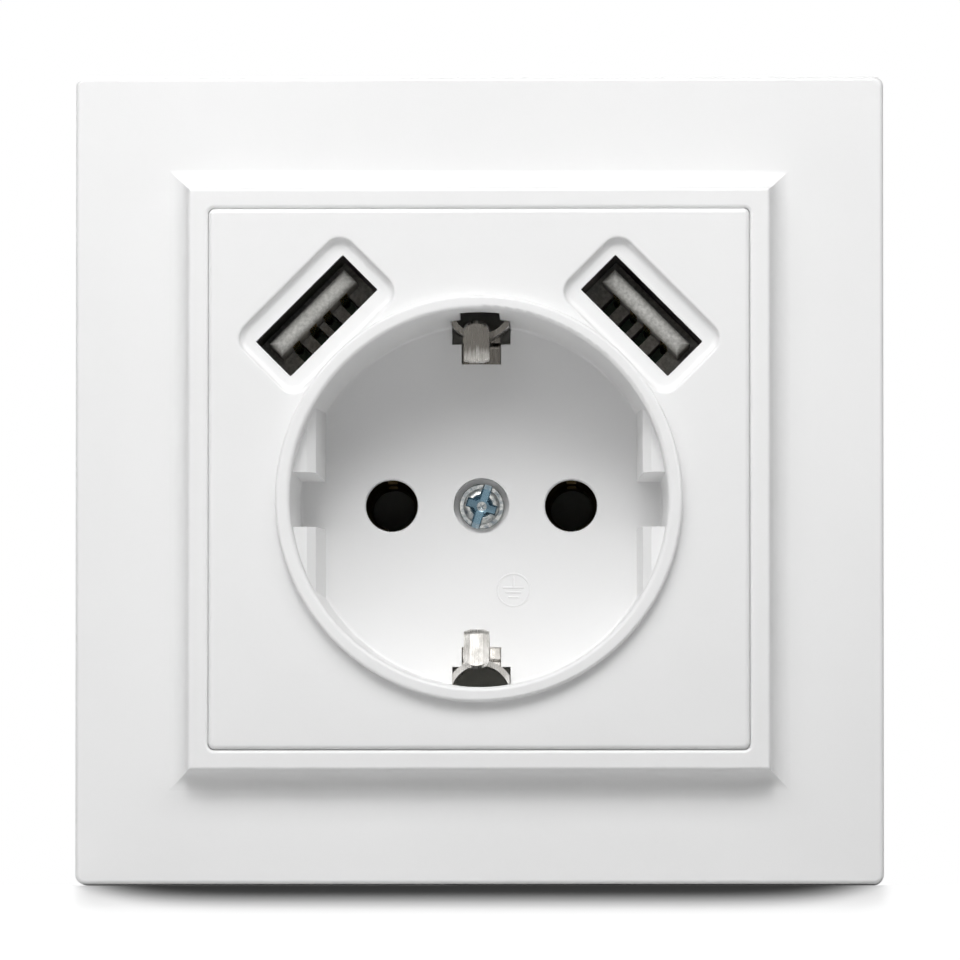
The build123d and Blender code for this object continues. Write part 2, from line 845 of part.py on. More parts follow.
def make_rear_cover():
    cover = slab(Circle(base_radius), rear_face, base_rear)
    cover = chamfer(cover.edges().group_by(Axis.Z)[0], rear_edge_chamfer)
    for x, y in terminal_places():
        cover -= slab(Pos(x, y) * SlotOverall(wire_entry_length, wire_entry_width), rear_face, base_rear)
    for x, y in box_screw_places():
        cover -= rod(x, y, box_screw_relief, rear_face, base_rear)
    for x, y in cover_screw_places():
        cover -= cover_screw(x, y, screw_clearance)
    return cover


def cover_screw(x, y, clearance):
    """Countersunk screw from the rear, grown by a clearance to make its hole."""
    shank_radius = cover_screw_radius + clearance
    head_radius = cover_screw_head_radius + clearance
    head_depth = head_radius - shank_radius
    profile = Polygon(
        (0, rear_face),
        (head_radius, rear_face),
        (shank_radius, rear_face + head_depth),
        (shank_radius, rear_face + cover_screw_length),
        (0, rear_face + cover_screw_length),
        align=None,
    )
    return Pos(x, y, 0) * revolve(Plane.XZ * profile, axis=Axis.Z)


def make_rear_cover_screws():
    drive = cross_drive(cover_screw_head_radius, rear_face + screw_drive_depth)
    return [cover_screw(x, y, 0) - Pos(x, y, 0) * drive for x, y in cover_screw_places()]


# Support yoke: pressed steel ring on the wall with slots for the wall box's screws
def make_support_yoke():
    outline = chamfer(Rectangle(yoke_side, yoke_side).vertices(), yoke_corner_cut)
    opening = recess_axis * Circle(cup_radius + yoke_edge_gap)
    notch_width = pocket_width + 2 * yoke_edge_gap
    notch_height = pocket_height + 2 * yoke_edge_gap
    for side in (-1, 1):
        opening += port_place(side) * Pos(0, -notch_height / 2) * Rectangle(notch_width, 2 * notch_height)
    yoke = slab(outline - opening, 0, yoke_thickness)
    for turn in four_sides():
        slot = Pos(box_screw_spacing / 2, 0) * SlotOverall(box_slot_length, box_slot_width)
        yoke -= turn * slab(slot, 0, yoke_thickness)
    for side in (-1, 1):
        yoke -= rod(side * claw_screw_x, claw_y, claw_screw_passage, 0, yoke_thickness)
    for x, y in rivet_places():
        yoke -= rod(x, y, rivet_radius + rivet_clearance, 0, yoke_thickness)
    return yoke


def make_yoke_rivets():
    rivets = []
    for x, y in rivet_places():
        head = rod(x, y, rivet_head_radius, yoke_thickness, yoke_thickness + rivet_head_height)
        head = fillet(head.edges().group_by(Axis.Z)[-1], rivet_head_round)
        rivets.append(head + rod(x, y, rivet_radius, yoke_thickness - rivet_length, yoke_thickness))
    return rivets


# Pin contacts, terminals and their screws
def make_pin_contact(side):
    x = side * pin_spacing / 2
    sleeve = rod(x, -recess_drop, contact_outer_radius, contact_rear, contact_front)
    sleeve -= block(
        centred(x, contact_slit),
        centred(-recess_drop, 3 * contact_outer_radius),
        (contact_rear + contact_foot_width, contact_front),
    )
    foot_top = terminal_y + terminal_height / 2
    run = (foot_top, -recess_drop - contact_radius)
    tail = block(centred(x, contact_foot_width), run, (contact_rear, contact_rear + contact_sleeve_wall))
    tail += block(
        centred(x, contact_foot_width),
        (foot_top, foot_top + contact_sleeve_wall),
        (contact_rear, contact_rear + contact_foot_length),
    )
    finger_low = board_back - contact_sleeve_wall
    finger = block(
        centred(x, contact_finger_width),
        (contact_radius - recess_drop, partition_top + contact_finger_reach),
        (finger_low, board_back),
    )
    contact = sleeve + tail + finger
    contact -= rod(x, -recess_drop, contact_radius, contact_rear, contact_front)
    mouth = Cone(contact_radius, contact_outer_radius - contact_mouth_lip, contact_mouth_depth)
    return contact - Pos(x, -recess_drop, contact_front - contact_mouth_depth / 2) * mouth


def make_terminal(x, y):
    terminal = block(
        centred(x, terminal_width), centred(y, terminal_height), (terminal_rear, terminal_front)
    )
    terminal = chamfer(terminal.edges().group_by(Axis.Z)[0], terminal_chamfer)
    for side in (-1, 1):
        terminal -= rod(x + side * wire_hole_offset, y, wire_hole_radius, terminal_rear,
                        terminal_rear + wire_hole_depth)
    bite = terminal_screw_shape(x, y, terminal_screw_radius + thread_clearance)
    return terminal - bite


def terminal_screw_shape(x, y, radius):
    """Headless clamp screw from below into a terminal."""
    low = y - terminal_height / 2 + terminal_screw_bite - terminal_screw_length
    screw = Cylinder(radius, terminal_screw_length, rotation=(90, 0, 0))
    return Pos(x, low + terminal_screw_length / 2, terminal_screw_z) * screw


def make_terminal_screws():
    screws = []
    for x, y in terminal_places():
        low = y - terminal_height / 2 + terminal_screw_bite - terminal_screw_length
        slot = block(
            centred(x, 3 * terminal_screw_radius),
            (low, low + screw_drive_depth),
            centred(terminal_screw_z, screw_drive_width),
        )
        screws.append(terminal_screw_shape(x, y, terminal_screw_radius) - slot)
    return screws


# Charger electronics on the rear of the circuit board
def make_circuit_board():
    outline = Circle(chamber_radius - board_edge_gap)
    board_low = partition_top + board_wall_gap
    outline -= Pos(0, board_low - base_radius) * Rectangle(2 * base_radius, 2 * base_radius)
    board = slab(outline, board_back, well_bottom)
    tail_y = tongue_limits()[0] + contact_strip_thickness / 2
    hole_radius = contact_tail_width / 2 + screw_clearance
    for side in (-1, 1):
        slots = [
            Pos(end * (shell_width - shell_wall) / 2, 0)
            * Rectangle(shell_wall + 2 * screw_clearance, shell_tab_width + 2 * screw_clearance)
            for end in (-1, 1)
        ]
        slots += [Pos(offset, tail_y) * Circle(hole_radius) for offset in contact_offsets()]
        for slot in slots:
            board -= port_place(side) * slab(slot, board_back, well_bottom)
    for x, y in cover_screw_places():
        board -= rod(x, y, cover_screw_boss + board_wall_gap, board_back, well_bottom)
    return board


def make_transformer_core():
    window = core_width / 2 - core_leg
    profile = Rectangle(core_width, core_height)
    for side in (-1, 1):
        profile -= Pos(side * (core_leg + window) / 2, 0) * Rectangle(window, core_window_height)
    core = extrude(Plane.XZ * profile, amount=core_depth / 2, both=True)
    return Pos(transformer_x, partition_top + transformer_rise, board_back - core_height / 2) * core


def make_transformer_coil():
    window = core_width / 2 - core_leg
    room = window - coil_clearance
    outer = RectangleRounded(core_leg + 2 * room, core_depth + 2 * room, min(coil_corner_radius, room))
    leg = Rectangle(core_leg + 2 * coil_clearance, core_depth + 2 * coil_clearance)
    height = core_window_height - 2 * coil_clearance
    coil = slab(outer - leg, -height / 2, height / 2)
    return Pos(transformer_x, partition_top + transformer_rise, board_back - core_height / 2) * coil


def make_can_capacitor(x, rise, radius, length):
    """Electrolytic can standing on the board, with its crimp groove near the board."""
    can = slab(Circle(radius), board_back - length, board_back)
    can = fillet(can.edges().group_by(Axis.Z)[0], can_edge_round)
    groove_z = board_back - can_groove_height
    can -= Pos(0, 0, groove_z) * Torus(radius + can_groove_depth, 2 * can_groove_depth)
    return Pos(x, partition_top + rise, 0) * can


def make_safety_capacitor():
    disc = Cylinder(safety_capacitor_radius, safety_capacitor_thickness, rotation=(90, 0, 0))
    disc = fillet(disc.edges(), safety_capacitor_round)
    disc_y = partition_top + safety_capacitor_rise
    return Pos(safety_capacitor_x, disc_y, board_back - safety_capacitor_radius) * disc


def make_fuse_resistor():
    middle = Cylinder(resistor_radius - resistor_waist, resistor_length, rotation=(0, 90, 0))
    for side in (-1, 1):
        cap_x = side * (resistor_length - resistor_cap_length) / 2
        cap = Cylinder(resistor_radius, resistor_cap_length, rotation=(0, 90, 0))
        middle += Pos(cap_x, 0, 0) * fillet(cap.edges(), resistor_waist)
    return Pos(resistor_x, partition_top + resistor_rise, board_back - resistor_radius) * middle


def make_chip(x, rise, length, width, leg_pitch, legs):
    """Moulded chip with bent legs along its two long sides."""
    leg_low = board_back - chip_height / 2
    chip = block(centred(0, length), centred(0, width),
                 (board_back - chip_height, board_back - chip_leg_thickness))
    for leg in range(legs):
        leg_x = (leg - (legs - 1) / 2) * leg_pitch
        for side in (-1, 1):
            start = side * width / 2
            bend = start + side * chip_leg_reach
            end = bend + side * chip_leg_reach
            upper = tuple(sorted((start, bend)))
            foot = tuple(sorted((bend - side * chip_leg_thickness, end)))
            post = tuple(sorted((bend - side * chip_leg_thickness, bend)))
            across = centred(leg_x, chip_leg_width)
            chip += block(across, upper, centred(leg_low, chip_leg_thickness))
            chip += block(across, post, (leg_low, board_back))
            chip += block(across, foot, (board_back - chip_leg_thickness, board_back))
    return Pos(x, partition_top + rise, 0) * chip


# Spreading claws: each swings on a pin and is drawn out by its screw
def make_claw(side):
    barrel = Circle(claw_barrel_radius)
    arm = Pos(claw_leg_outer / 2, 0) * Rectangle(claw_leg_outer, claw_sheet)
    leg_middle = (claw_leg_inner + claw_leg_outer) / 2
    leg_span = claw_leg_length + claw_sheet / 2
    leg = Pos(leg_middle, claw_sheet / 2 - leg_span / 2) * Rectangle(claw_leg_sheet, leg_span)
    profile = arm + leg
    knee = profile.vertices().sort_by(Axis.X)[-2:].sort_by(Axis.Y)[-1]
    profile = fillet(knee, claw_bend) + barrel
    claw = extrude(Plane.XZ * profile, amount=claw_width / 2, both=True)

    bore = Cylinder(claw_pin_radius + claw_pin_play, 2 * claw_width, rotation=(90, 0, 0))
    slot_inner = claw_lever - claw_screw_radius - claw_slot_inner_room
    slot = block(
        (slot_inner, claw_leg_outer + claw_slot_outer_room),
        centred(0, 2 * (claw_screw_radius + claw_slot_clearance)),
        (-claw_slot_leg_drop, claw_sheet),
    )
    claw -= bore + slot
    for tooth in (-1, 0, 1):
        notch = Polygon((-claw_tooth_depth / 2, 0), (claw_tooth_depth / 2, 0), (0, claw_tooth_depth), align=None)
        notch = extrude(Plane.YZ * notch, amount=2 * claw_leg_outer)
        claw -= Pos(0, tooth * claw_tooth_pitch, -claw_leg_length) * notch
    claw = Pos(claw_pivot_x, claw_y, claw_pivot_z) * claw
    return claw if side > 0 else mirror(claw, about=Plane.YZ)


def claw_pin_shape(side, radius):
    """Pin through both walls of a claw's pocket."""
    length = claw_pocket_width + 2 * claw_pocket_wall
    pin = Cylinder(radius, length, rotation=(90, 0, 0))
    return Pos(side * claw_pivot_x, claw_y, claw_pivot_z) * pin


def make_claw_screw(side):
    seat = yoke_thickness + claw_screw_seat
    head_top = seat + claw_screw_head_height
    head = slab(Circle(claw_screw_head_radius), seat, head_top)
    head = fillet(head.edges().group_by(Axis.Z)[-1], screw_head_round)
    shank = slab(Circle(claw_screw_radius), yoke_thickness - claw_screw_length, seat)
    shank = chamfer(shank.edges().group_by(Axis.Z)[0], screw_tip_chamfer)
    screw = head + shank - cross_drive(claw_screw_head_radius, head_top)
    return Pos(side * claw_screw_x, claw_y, 0) * screw


def all_pieces():
    """Every piece by the name of its node."""
    pieces = {
        "cover_frame": make_cover_frame(),
        "centre_plate": make_centre_plate(),
        "plate_screw": make_plate_screw(),
        "centre_nut": make_centre_nut(),
        "support_yoke": make_support_yoke(),
        "yoke_rivets": make_yoke_rivets(),
        "socket_base": make_socket_base(),
        "rear_cover": make_rear_cover(),
        "rear_cover_screws": make_rear_cover_screws(),
        "earth_strap": make_earth_strap(),
        "live_contact": make_pin_contact(-1),
        "neutral_contact": make_pin_contact(1),
        "terminal_screws": make_terminal_screws(),
        "usb_circuit_board": make_circuit_board(),
        "transformer_core": make_transformer_core(),
        "transformer_coil": make_transformer_coil(),
        "input_capacitor": make_can_capacitor(
            input_capacitor_x, input_capacitor_rise, input_capacitor_radius, input_capacitor_length
        ),
        "output_capacitor": make_can_capacitor(
            output_capacitor_x, output_capacitor_rise, output_capacitor_radius, output_capacitor_length
        ),
        "safety_capacitor": make_safety_capacitor(),
        "fuse_resistor": make_fuse_resistor(),
        "controller_chip": make_chip(
            chip_x, chip_rise, chip_length, chip_width, chip_leg_pitch, chip_legs_per_side
        ),
        "rectifier": make_chip(
            rectifier_x, rectifier_rise, rectifier_length, rectifier_width, rectifier_leg_pitch,
            rectifier_legs_per_side,
        ),
    }
    for name, (x, y) in zip(("live", "earth", "neutral"), terminal_places()):
        pieces[f"{name}_terminal"] = make_terminal(x, y)
    for name, side in (("left", -1), ("right", 1)):
        pieces[f"usb_shell_{name}"] = make_usb_shell(side)
        pieces[f"usb_insulator_{name}"] = make_usb_insulator(side)
        for number, offset in enumerate(contact_offsets(), start=1):
            pieces[f"usb_contact_{name}_{number}"] = make_usb_contact(side, offset)
        pieces[f"claw_{name}"] = make_claw(side)
        pieces[f"claw_pin_{name}"] = claw_pin_shape(side, claw_pin_radius)
        pieces[f"claw_screw_{name}"] = make_claw_screw(side)
    return pieces


def main():
    os.makedirs("parts", exist_ok=True)
    upright = Location(Plane.XZ)
    for name, piece in all_pieces().items():
        solids = piece if isinstance(piece, list) else [piece]
        turned = Compound(children=[upright * solid for group in solids for solid in group.solids()])
        export_step(turned, f"parts/{name}.step")


if __name__ == "__main__":
    main()
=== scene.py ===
import math

import bmesh
import bpy
import numpy as np
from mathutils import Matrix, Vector


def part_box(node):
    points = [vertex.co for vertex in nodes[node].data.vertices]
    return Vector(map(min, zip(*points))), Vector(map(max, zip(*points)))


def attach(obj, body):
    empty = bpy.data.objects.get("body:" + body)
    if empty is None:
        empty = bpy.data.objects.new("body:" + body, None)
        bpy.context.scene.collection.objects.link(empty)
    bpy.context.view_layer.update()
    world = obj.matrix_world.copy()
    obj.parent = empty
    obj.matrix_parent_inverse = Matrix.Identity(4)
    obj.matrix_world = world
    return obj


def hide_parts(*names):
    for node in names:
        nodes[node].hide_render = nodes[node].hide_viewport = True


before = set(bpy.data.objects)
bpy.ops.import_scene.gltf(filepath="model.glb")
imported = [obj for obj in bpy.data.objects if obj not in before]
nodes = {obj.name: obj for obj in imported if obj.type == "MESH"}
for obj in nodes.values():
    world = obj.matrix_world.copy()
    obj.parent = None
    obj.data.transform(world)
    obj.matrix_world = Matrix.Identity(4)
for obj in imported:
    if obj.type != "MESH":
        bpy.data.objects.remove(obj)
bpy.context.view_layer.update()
mm = 0.001
print("frame loaded:", len(nodes), "nodes")


# Helpers for materials

def linearColour(hexCode):  # sRGB hex to linear RGBA
    channels = np.array([int(hexCode[i:i + 2], 16) for i in (0, 2, 4)]) / 255
    toe = channels / 12.92
    curve = ((channels + 0.055) / 1.055) ** 2.4
    return [*np.where(channels <= 0.04045, toe, curve).tolist(), 1.0]


def addNode(tree, kind, inputs=None, **settings):  # a socket is linked, any other value is set
    node = tree.nodes.new(kind)
    for name, value in settings.items():
        setattr(node, name, value)
    for key, value in (inputs or {}).items():
        if isinstance(value, bpy.types.NodeSocket):
            tree.links.new(value, node.inputs[key])
        else:
            node.inputs[key].default_value = value
    return node


def makeMaterial(name):  # an empty node material and its tree
    material = bpy.data.materials.new(name)
    material.use_nodes = True
    material.node_tree.nodes.clear()
    return material, material.node_tree


noiseLook = {"grainMix": 0.55, "cloudDetail": 3.0, "tintSpan": (0.3, 0.7), "sheenSpan": (0.25, 0.75)}


def surfaceMaterial(name, look):  # clouds give the colour, a noise at the real grain gives sheen and relief
    material, tree = makeMaterial(name)
    place = addNode(tree, "ShaderNodeTexCoord")
    lay = addNode(tree, "ShaderNodeMapping", {
        "Vector": place.outputs["Object"], "Scale": look["stretch"]})
    grain = addNode(tree, "ShaderNodeTexNoise", {
        "Vector": lay.outputs["Vector"], "Scale": 1 / (look["grain"] * mm),
        "Detail": look["detail"], "Roughness": noiseLook["grainMix"]})
    clouds = addNode(tree, "ShaderNodeTexNoise", {
        "Vector": place.outputs["Object"], "Scale": 1 / (look["clouds"] * mm),
        "Detail": noiseLook["cloudDetail"]})
    tint = addNode(tree, "ShaderNodeValToRGB", {"Fac": clouds.outputs["Fac"]})
    for element, stop, colour in zip(tint.color_ramp.elements, noiseLook["tintSpan"], look["colours"]):
        element.position = stop
        element.color = linearColour(colour)
    colour = tint.outputs["Color"]
    if "recess" in look:  # painted shade where the mask is low
        if "paintedShadeHeights" in look:  # painted shade above a height, past a ragged edge
            axes = addNode(tree, "ShaderNodeSeparateXYZ", {"Vector": place.outputs["Object"]})
            reached = addNode(tree, "ShaderNodeMath", {
                0: axes.outputs["Y"], 1: look["inward"], 2: axes.outputs["Z"]}, operation="MULTIPLY_ADD")
            ragged = addNode(tree, "ShaderNodeMath", {
                0: grain.outputs["Fac"], 1: look["ragged"] * mm, 2: reached.outputs[0]},
                operation="MULTIPLY_ADD")
            unshadedShare = addNode(tree, "ShaderNodeMapRange", {
                "Value": ragged.outputs[0], "From Min": look["paintedShadeHeights"][0] * mm,
                "From Max": look["paintedShadeHeights"][1] * mm, "To Min": 1.0, "To Max": 0.0}).outputs["Result"]
        else:  # by the piece's own attribute: painted shade in a drive
            unshadedShare = addNode(tree, "ShaderNodeAttribute", attribute_name="unshadedShare").outputs["Fac"]
        shade = addNode(tree, "ShaderNodeMix", {
            0: unshadedShare, 6: linearColour(look["recess"]), 7: colour}, data_type="RGBA")
        colour = shade.outputs[2]
    sheen = addNode(tree, "ShaderNodeMapRange", {
        "Value": grain.outputs["Fac"],
        "From Min": noiseLook["sheenSpan"][0], "From Max": noiseLook["sheenSpan"][1],
        "To Min": look["roughness"][0], "To Max": look["roughness"][1]})
    relief = addNode(tree, "ShaderNodeBump", {
        "Height": grain.outputs["Fac"], "Strength": look["relief"], "Distance": look["grain"] * mm})
    shader = addNode(tree, "ShaderNodeBsdfPrincipled", {
        "Base Color": colour, "Roughness": sheen.outputs["Result"],
        "Metallic": look["metal"], "Normal": relief.outputs["Normal"]})
    addNode(tree, "ShaderNodeOutputMaterial", {"Surface": shader.outputs["BSDF"]})
    return material


even = (1, 1, 1)  # how far a grain is stretched: a small share draws it out along that axis
alongX = (0.06, 1, 1)
alongY = (1, 0.06, 1)
acrossX = (1, 0.05, 0.05)


# Materials, one dictionary each

coverPlastic = {  # satin white, very fine spark-eroded grain
    "colours": ("EEEEEE", "F1F1F1"), "grain": 0.18, "clouds": 30, "detail": 2, "stretch": even,
    "roughness": (0.34, 0.42), "relief": 0.03, "metal": 0}
zincSteel = {  # bluish passivated zinc in soft patches
    "colours": ("8E979F", "A9ABA6"), "grain": 0.12, "clouds": 0.8, "detail": 3, "stretch": even,
    "roughness": (0.24, 0.38), "relief": 0.08, "metal": 1}
drivenZinc = {  # the same zinc; the drive dark blue, zinc blue with painted shade, its middle a painted highlight
    "colours": ("6E787F", "D4D4D0"), "recess": "6E8896",
    "grain": 0.12, "clouds": 0.5, "detail": 3, "stretch": even,
    "roughness": (0.16, 0.3), "relief": 0.08, "metal": 1}
yokeSteel = {  # galvanised sheet with spangle and rolling lines
    "colours": ("9A9C9C", "B6B8B8"), "grain": 0.25, "clouds": 2.5, "detail": 3, "stretch": alongX,
    "roughness": (0.32, 0.5), "relief": 0.05, "metal": 1}
basePlastic = {  # matt light grey thermoset with mottle
    "colours": ("D3D3CE", "D7D7D2"), "grain": 0.3, "clouds": 9, "detail": 4, "stretch": even,
    "roughness": (0.5, 0.66), "relief": 0.08, "metal": 0}
rearPlastic = {  # darker grey lid, same grain
    "colours": ("B8B9B6", "BCBDBA"), "grain": 0.3, "clouds": 9, "detail": 4, "stretch": even,
    "roughness": (0.5, 0.66), "relief": 0.08, "metal": 0}
springStrip = {  # nickel-plated strip with drawn lines, painted shade on the upper clip above a height
    "colours": ("BEBBB6", "E6E4E0"), "recess": "7C7872",
    "paintedShadeHeights": (12.4, 13.3), "inward": 0.32, "ragged": 1.4,
    "grain": 0.16, "clouds": 1.2, "detail": 3, "stretch": acrossX,
    "roughness": (0.2, 0.36), "relief": 0.12, "metal": 1}
contactBrass = {  # rolled brass strip, darkened to brown as painted shade in the pin holes
    "colours": ("463B26", "57492E"), "grain": 0.12, "clouds": 2, "detail": 3, "stretch": alongY,
    "roughness": (0.42, 0.58), "relief": 0.05, "metal": 1}
terminalBrass = {  # turned and sawn brass block
    "colours": ("B8934A", "C6A45A"), "grain": 0.2, "clouds": 2, "detail": 3, "stretch": alongX,
    "roughness": (0.3, 0.46), "relief": 0.08, "metal": 1}
laminate = {  # green resist over a glass weave
    "colours": ("1E5A38", "27683F"), "grain": 0.4, "clouds": 4, "detail": 2, "stretch": even,
    "roughness": (0.3, 0.45), "relief": 0.1, "metal": 0}
ferrite = {  # sintered dark grey, speckled
    "colours": ("2A2A2C", "3A3A3B"), "grain": 0.15, "clouds": 0.5, "detail": 5, "stretch": even,
    "roughness": (0.45, 0.7), "relief": 0.15, "metal": 0}
coilTape = {  # yellow polyester film with wrap lines
    "colours": ("D6A92C", "E0B840"), "grain": 0.4, "clouds": 3, "detail": 2, "stretch": alongX,
    "roughness": (0.2, 0.34), "relief": 0.1, "metal": 0}
capacitorSleeve = {  # black shrink sleeve
    "colours": ("1B1D22", "25272D"), "grain": 0.3, "clouds": 3, "detail": 2, "stretch": alongY,
    "roughness": (0.25, 0.38), "relief": 0.06, "metal": 0}
discLacquer = {  # dipped blue lacquer, slightly orange-peeled
    "colours": ("2F5F9E", "3A6BAB"), "grain": 0.6, "clouds": 2, "detail": 2, "stretch": even,
    "roughness": (0.22, 0.34), "relief": 0.2, "metal": 0}
resistorCoating = {  # beige lacquer on a ceramic rod
    "colours": ("CDB58A", "D8C39B"), "grain": 0.3, "clouds": 1.5, "detail": 2, "stretch": even,
    "roughness": (0.35, 0.5), "relief": 0.12, "metal": 0}
chipResin = {  # black moulding resin, matt
    "colours": ("1C1C1D", "262627"), "grain": 0.08, "clouds": 1, "detail": 3, "stretch": even,
    "roughness": (0.5, 0.65), "relief": 0.1, "metal": 0}
portSteel = {  # tin-plated folded sheet, faint rolling lines, toned darker as painted shade inside the ports
    "colours": ("8B8985", "9E9C98"), "grain": 0.1, "clouds": 2, "detail": 3, "stretch": alongY,
    "roughness": (0.26, 0.4), "relief": 0.04, "metal": 1}
portPlastic = {  # grey glass-filled moulding with a speckle of fibres
    "colours": ("9C9B97", "C4C3BF"), "grain": 0.2, "clouds": 0.35, "detail": 3, "stretch": even,
    "roughness": (0.45, 0.6), "relief": 0.12, "metal": 0}
portGilt = {  # flash gold on a pressed contact
    "colours": ("D9B45A", "E2C06A"), "grain": 0.08, "clouds": 1, "detail": 2, "stretch": alongY,
    "roughness": (0.2, 0.32), "relief": 0.03, "metal": 1}
clawSteel = {  # zinc-plated pressing, sheared edges
    "colours": ("8F9496", "A6AAAB"), "grain": 0.2, "clouds": 1.5, "detail": 3, "stretch": alongY,
    "roughness": (0.3, 0.48), "relief": 0.06, "metal": 1}

finishes = {
    "moulded_white_polycarbonate": (coverPlastic, ["cover_frame", "centre_plate"]),
    "zinc_passivated_turned_steel": (zincSteel, ["centre_nut", "yoke_rivets"]),
    "zinc_passivated_pressed_head": (drivenZinc, [
        "plate_screw", "rear_cover_screws", "terminal_screws", "claw_screw_left", "claw_screw_right"]),
    "galvanised_pressed_steel": (yokeSteel, ["support_yoke"]),
    "moulded_grey_thermoset": (basePlastic, ["socket_base"]),
    "moulded_grey_lid_plastic": (rearPlastic, ["rear_cover"]),
    "nickel_plated_spring_strip": (springStrip, ["earth_strap"]),
    "rolled_contact_brass": (contactBrass, ["live_contact", "neutral_contact"]),
    "sawn_terminal_brass": (terminalBrass, ["live_terminal", "neutral_terminal", "earth_terminal"]),
    "resist_coated_laminate": (laminate, ["usb_circuit_board"]),
    "sintered_ferrite": (ferrite, ["transformer_core"]),
    "wrapped_polyester_tape": (coilTape, ["transformer_coil"]),
    "shrunk_black_sleeve": (capacitorSleeve, ["input_capacitor", "output_capacitor"]),
    "dipped_blue_lacquer": (discLacquer, ["safety_capacitor"]),
    "lacquered_resistor_body": (resistorCoating, ["fuse_resistor"]),
    "transfer_moulded_resin": (chipResin, ["controller_chip", "rectifier"]),
    "tin_plated_folded_steel": (portSteel, ["usb_shell_left", "usb_shell_right"]),
    "moulded_port_plastic": (portPlastic, ["usb_insulator_left", "usb_insulator_right"]),
    "gold_flashed_contact": (portGilt, [
        f"usb_contact_{side}_{number}" for side in ("left", "right") for number in (1, 2, 3, 4)]),
    "zinc_plated_pressed_steel": (clawSteel, [
        "claw_left", "claw_right", "claw_pin_left", "claw_pin_right"]),
}
materials = {}
for finishName, (look, wearers) in finishes.items():
    materials[finishName] = surfaceMaterial(finishName, look)
    for wearer in wearers:
        nodes[wearer].data.materials.clear()
        nodes[wearer].data.materials.append(materials[finishName])
print("materials:", len(materials))


# Helpers for shapes

mergeGap = 1e-7  # metres


def gridPiece(name, points, material, closeRows=False, unshadedShare=None):  # quads round each grid, columns closed
    points = points if points.ndim == 4 else points[None]
    copies, rows, columns = points.shape[:3]
    row, column = np.meshgrid(np.arange(rows - (not closeRows)), np.arange(columns), indexing="ij")
    nextRow = (row + 1) % rows
    nextColumn = (column + 1) % columns
    corners = [row * columns + column, nextRow * columns + column,
               nextRow * columns + nextColumn, row * columns + nextColumn]
    faces = np.stack(corners, axis=-1).reshape(1, -1, 4)
    faces = (faces + np.arange(copies)[:, None, None] * rows * columns).reshape(-1, 4)
    mesh = bpy.data.meshes.new(name)
    mesh.from_pydata((points * mm).reshape(-1, 3).tolist(), [], faces.tolist())
    # the share left out of painted shade, kept on the points
    if unshadedShare is not None:
        unshadedShares = mesh.attributes.new("unshadedShare", "FLOAT", "POINT")
        unshadedShares.data.foreach_set("value", unshadedShare.ravel().astype(np.float32))
    shape = bmesh.new()
    shape.from_mesh(mesh)
    bmesh.ops.remove_doubles(shape, verts=shape.verts, dist=mergeGap)  # closes the poles
    bmesh.ops.recalc_face_normals(shape, faces=shape.faces)
    shape.to_mesh(mesh)
    shape.free()
    mesh.materials.append(materials[material])
    mesh.shade_smooth()
    piece = bpy.data.objects.new(name, mesh)
    bpy.context.scene.collection.objects.link(piece)
    return piece


# Earth sign, a faint relief in the recess floor

earthSign = {
    "centre": (3.4, -11.05), "floor": 6.0, "height": 0.07, "ringRadius": 1.72, "lineWidth": 0.2,
    "stemTop": 1.3, "stemFoot": 0.35, "barDrop": 0.1, "barGap": 0.5, "barLengths": (2.1, 1.5, 0.9),
    "lineColumns": 24, "rowInsets": (0, 0, 0.3, 1), "rowLifts": (-0.05, 0.7, 1, 1),
    "ringColumns": 72, "ringRows": 9, "ringCrown": 1.6, "ringSink": 0.005}


def reliefLine(name, start, end):  # stadium outline swept up a rounded step: p = mid + s(v) * outline(u)
    start = np.array(start)
    end = np.array(end)
    along = (end - start) / np.linalg.norm(end - start)
    across = np.array([-along[1], along[0]])
    turn = np.linspace(0, 2 * np.pi, earthSign["lineColumns"], endpoint=False)
    half = np.linalg.norm(end - start) / 2
    inset = np.array(earthSign["rowInsets"])  # share of the half width that each row moves in
    lift = np.array(earthSign["rowLifts"]) * earthSign["height"]
    reach = earthSign["lineWidth"] / 2 * (1 - inset)[:, None]
    offset = np.where(np.cos(turn) >= 0, half, -half)[None, :]
    localAlong = offset + reach * np.cos(turn)
    localAcross = reach * np.sin(turn)
    flat = (start + end) / 2 + localAlong[..., None] * along + localAcross[..., None] * across
    points = np.stack([
        flat[..., 0] + earthSign["centre"][0],
        np.broadcast_to(earthSign["floor"] - lift[:, None], localAlong.shape),
        flat[..., 1] + earthSign["centre"][1]], axis=-1)
    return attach(gridPiece(name, points, "moulded_white_polycarbonate"), "socket")


def reliefRing(name):  # rounded strip carried round a circle: r = radius + half * cos(v), lift by sin(v)
    turn = np.linspace(0, 2 * np.pi, earthSign["ringColumns"], endpoint=False)[:, None]
    strip = np.linspace(0, np.pi, earthSign["ringRows"])[None, :]
    radius = earthSign["ringRadius"] + earthSign["lineWidth"] / 2 * np.cos(strip)
    lift = earthSign["height"] * np.minimum(1, earthSign["ringCrown"] * np.sin(strip)) - earthSign["ringSink"]
    shape = np.broadcast_shapes(turn.shape, strip.shape)
    points = np.stack([
        earthSign["centre"][0] + radius * np.cos(turn),
        np.broadcast_to(earthSign["floor"] - lift, shape),
        earthSign["centre"][1] + radius * np.sin(turn)], axis=-1)
    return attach(gridPiece(name, points, "moulded_white_polycarbonate", closeRows=True), "socket")


